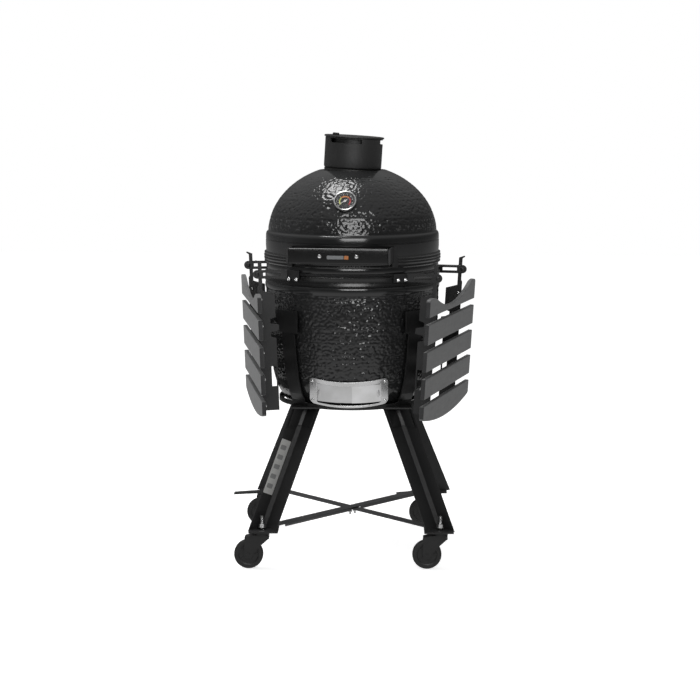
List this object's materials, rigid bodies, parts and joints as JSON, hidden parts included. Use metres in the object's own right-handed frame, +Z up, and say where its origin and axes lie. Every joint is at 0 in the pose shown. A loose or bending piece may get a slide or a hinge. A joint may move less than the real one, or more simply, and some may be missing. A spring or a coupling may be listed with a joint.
{
  "type": "kamado ceramic grill",
  "caption": "Egg-shaped ceramic charcoal grill: hinged lid, vent cap, draft door, wheeled stand, two fold-down slatted side shelves",
  "frame": {"origin": "middle of the grill's bounding box in plan, on the floor under the wheels", "axes": "+Z up, -Y is the front with the draft door and handle, +X is the right-hand shelf as seen from the front"},
  "size_m": [0.6744, 0.6158, 1.0976],
  "materials": {
    "glaze": "glossy dimpled charcoal glaze",
    "fire_clay": "unglazed, matte",
    "black_steel": "satin black powder coat",
    "cast_black": "matte black",
    "grip": "semi-gloss black",
    "felt": "matte felt",
    "slat": "grey composite board, satin",
    "wheel": "matte black",
    "stainless": "brushed",
    "lens": "clear",
    "needle": "satin red"
  },
  "bodies": {
    "stand": {"base": "glaze", "base_gasket": "felt", "firebox": "fire_clay", "fire_ring": "fire_clay", "charcoal_grate": "cast_black", "cooking_grate": "stainless", "base_band": "black_steel", "hinge_base_bracket": "black_steel", "hinge_pin": "stainless", "hinge_spring": "stainless", "draft_frame": "stainless", "cradle": "black_steel", "brace_lower": "black_steel", "brace_upper": "black_steel", "leg_front_left": "black_steel", "leg_front_right": "black_steel", "leg_rear_left": "black_steel", "leg_rear_right": "black_steel", "shelf_arm_left_front": "black_steel", "shelf_arm_left_rear": "black_steel", "shelf_arm_right_front": "black_steel", "shelf_arm_right_rear": "black_steel"},
    "lid": {"dome": "glaze", "dome_gasket": "felt", "dome_band": "black_steel", "hinge_dome_bracket": "black_steel", "handle_grip": "grip", "handle_bracket_left": "black_steel", "handle_bracket_right": "black_steel", "vent_body": "cast_black", "thermometer_case": "stainless", "thermometer_glass": "lens"},
    "vent_top": {"vent_lid": "cast_black"},
    "needle": {"thermometer_needle": "needle"},
    "draft_door": {"draft_door": "stainless"},
    "draft_screen": {"draft_screen": "stainless"},
    "fork_front_left": {"caster_fork_front_left": "cast_black"},
    "wheel_front_left": {"caster_wheel_front_left": "wheel"},
    "fork_front_right": {"caster_fork_front_right": "cast_black"},
    "wheel_front_right": {"caster_wheel_front_right": "wheel"},
    "fork_rear_left": {"caster_fork_rear_left": "cast_black"},
    "wheel_rear_left": {"caster_wheel_rear_left": "wheel"},
    "pedal_rear_left": {"brake_pedal_rear_left": "cast_black"},
    "fork_rear_right": {"caster_fork_rear_right": "cast_black"},
    "wheel_rear_right": {"caster_wheel_rear_right": "wheel"},
    "pedal_rear_right": {"brake_pedal_rear_right": "cast_black"},
    "shelf_left": {"shelf_rail_left_front": "black_steel", "shelf_rail_left_rear": "black_steel", "slat_left_1": "slat", "slat_left_2": "slat", "slat_left_3": "slat", "slat_left_4": "slat", "slat_left_5": "slat"},
    "shelf_right": {"shelf_rail_right_front": "black_steel", "shelf_rail_right_rear": "black_steel", "slat_right_1": "slat", "slat_right_2": "slat", "slat_right_3": "slat", "slat_right_4": "slat", "slat_right_5": "slat"}
  },
  "joints": [
    {"name": "lid_hinge", "type": "hinge", "parent": "stand", "child": "lid", "pos_m": [0.01653, 0.26166, 0.731], "axis": [-1, 0, 0], "range_deg": [0, 75]},
    {"name": "vent_turn", "type": "hinge", "parent": "lid", "child": "vent_top", "pos_m": [0.01653, -0.01434, 1.0105], "axis": [0.061, 0, 0.9981], "range_deg": [0, 36]},
    {"name": "needle_turn", "type": "hinge", "parent": "lid", "child": "needle", "pos_m": [0.01288, -0.20467, 0.93435], "axis": [-0.0155, -0.8086, 0.5882], "range_deg": [-250, 0], "stiffness_Nm_per_rad": 0.002},
    {"name": "draft_door_slide", "type": "hinge", "parent": "stand", "child": "draft_door", "pos_m": [0.01662, -0.01747, 0.47977], "axis": [0.0048, -0.1736, 0.9848], "range_deg": [-24, 0]},
    {"name": "draft_screen_slide", "type": "hinge", "parent": "stand", "child": "draft_screen", "pos_m": [0.01662, -0.01747, 0.47977], "axis": [0.0048, -0.1736, 0.9848], "range_deg": [0, 24]},
    {"name": "swivel_front_left", "type": "hinge", "parent": "stand", "child": "fork_front_left", "pos_m": [-0.19628, -0.25658, 0], "axis": [0, 0, 1], "continuous": true},
    {"name": "roll_front_left", "type": "hinge", "parent": "fork_front_left", "child": "wheel_front_left", "pos_m": [-0.23071, -0.2588, 0.0375], "axis": [-0.0645, 0.9979, 0], "continuous": true},
    {"name": "swivel_front_right", "type": "hinge", "parent": "stand", "child": "fork_front_right", "pos_m": [0.25877, -0.22715, 0], "axis": [0, 0, 1], "continuous": true},
    {"name": "roll_front_right", "type": "hinge", "parent": "fork_front_right", "child": "wheel_front_right", "pos_m": [0.22434, -0.22938, 0.0375], "axis": [-0.0645, 0.9979, 0], "continuous": true},
    {"name": "swivel_rear_left", "type": "hinge", "parent": "stand", "child": "fork_rear_left", "pos_m": [-0.22861, 0.24338, 0], "axis": [0, 0, 1], "continuous": true},
    {"name": "roll_rear_left", "type": "hinge", "parent": "fork_rear_left", "child": "wheel_rear_left", "pos_m": [-0.26304, 0.24115, 0.0375], "axis": [-0.0645, 0.9979, 0], "continuous": true},
    {"name": "brake_rear_left", "type": "hinge", "parent": "fork_rear_left", "child": "pedal_rear_left", "pos_m": [-0.25456, 0.2417, 0.0915], "axis": [-0.0645, 0.9979, 0], "range_deg": [-10, 0]},
    {"name": "swivel_rear_right", "type": "hinge", "parent": "stand", "child": "fork_rear_right", "pos_m": [0.22644, 0.27281, 0], "axis": [0, 0, 1], "continuous": true},
    {"name": "roll_rear_right", "type": "hinge", "parent": "fork_rear_right", "child": "wheel_rear_right", "pos_m": [0.19201, 0.27058, 0.0375], "axis": [-0.0645, 0.9979, 0], "continuous": true},
    {"name": "brake_rear_right", "type": "hinge", "parent": "fork_rear_right", "child": "pedal_rear_right", "pos_m": [0.20049, 0.27113, 0.0915], "axis": [-0.0645, 0.9979, 0], "range_deg": [-10, 0]},
    {"name": "shelf_fold_left", "type": "hinge", "parent": "stand", "child": "shelf_left", "pos_m": [-0.24082, -0.07092, 0.75], "axis": [-0.2147, 0.9767, 0], "range_deg": [0, 92.1]},
    {"name": "shelf_fold_right", "type": "hinge", "parent": "stand", "child": "shelf_right", "pos_m": [0.2773, -0.07167, 0.743], "axis": [-0.2147, -0.9767, 0], "range_deg": [0, 93.5]}
  ]
}
